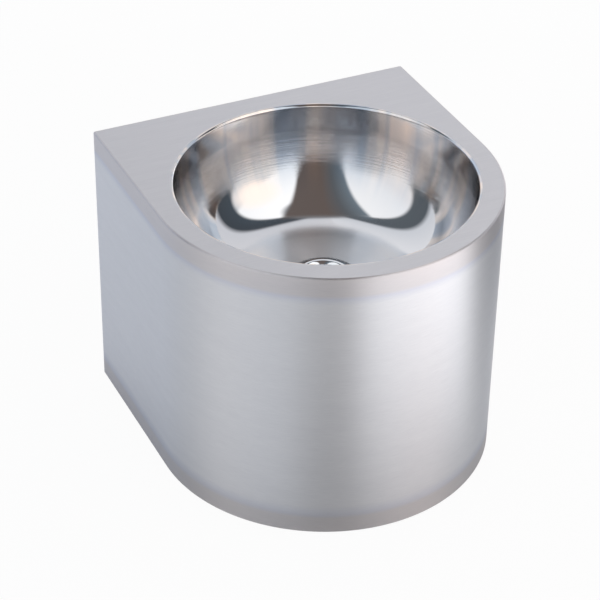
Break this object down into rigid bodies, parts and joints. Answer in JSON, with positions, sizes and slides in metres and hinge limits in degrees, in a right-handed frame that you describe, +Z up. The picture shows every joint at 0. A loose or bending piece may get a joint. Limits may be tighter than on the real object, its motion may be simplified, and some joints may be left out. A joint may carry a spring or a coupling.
{
  "type": "hand wash sink",
  "caption": "Wall-hung stainless steel hand wash sink with a round bowl in a D-shaped deck, a deep apron, a grated waste and a bottle trap with a screw-off cup.",
  "frame": {"origin": "centre of the body's outline on the level of its bottom edge, which is the centre of the bottom of the bounding box", "axes": "+Z is up, +Y points from the front to the wall, and +X is to the right as seen from the front"},
  "size_m": [0.36, 0.365, 0.31],
  "materials": {
    "satin_steel": "satin grained stainless steel, weld seams dressed and blended",
    "polished_steel": "bright polished stainless steel",
    "mill_steel": "plain mill-finish stainless steel",
    "bright_waste": "mirror polished waste fitting",
    "brass": "plain machined brass",
    "black_rubber": "matt black rubber",
    "pad_rubber": "dull grey damping sheet",
    "white_plastic": "smooth white polypropylene"
  },
  "bodies": {
    "basin": {"deck_plate": "satin_steel", "bowl": "polished_steel", "apron": "satin_steel", "bottom_rim": "satin_steel", "sound_pad": "pad_rubber", "hanger_angle": "mill_steel", "wall_bracket": "mill_steel", "fixing_pad_left": "mill_steel", "fixing_pad_right": "mill_steel", "earth_tab": "mill_steel", "earth_screw": "brass", "earth_washer": "brass", "earth_nut": "brass", "waste_body": "bright_waste", "waste_grate": "bright_waste", "grate_screw": "bright_waste", "flange_seal": "black_rubber", "under_seal": "black_rubber", "slip_washer": "white_plastic", "backnut": "brass", "inlet_nut": "white_plastic", "inlet_seal": "black_rubber", "dip_tube": "white_plastic", "trap_body": "white_plastic", "outlet_seal": "black_rubber", "outlet_nut": "white_plastic"},
    "seal": {"cup_seal": "black_rubber"},
    "cup": {"trap_cup": "white_plastic"}
  },
  "joints": [
    {"name": "cup_drop", "type": "slide", "parent": "basin", "child": "seal", "axis": [0, 0, -1], "range_m": [0, 0.008]},
    {"name": "cup_turn", "type": "hinge", "parent": "seal", "child": "cup", "pos_m": [0, -0.0025, 0.05], "axis": [0, 0, -1], "range_deg": [0, 720]}
  ],
  "couplings": [
    {"joint": "cup_drop", "follows": "cup_turn", "m_per_rad": 0.0006366}
  ]
}
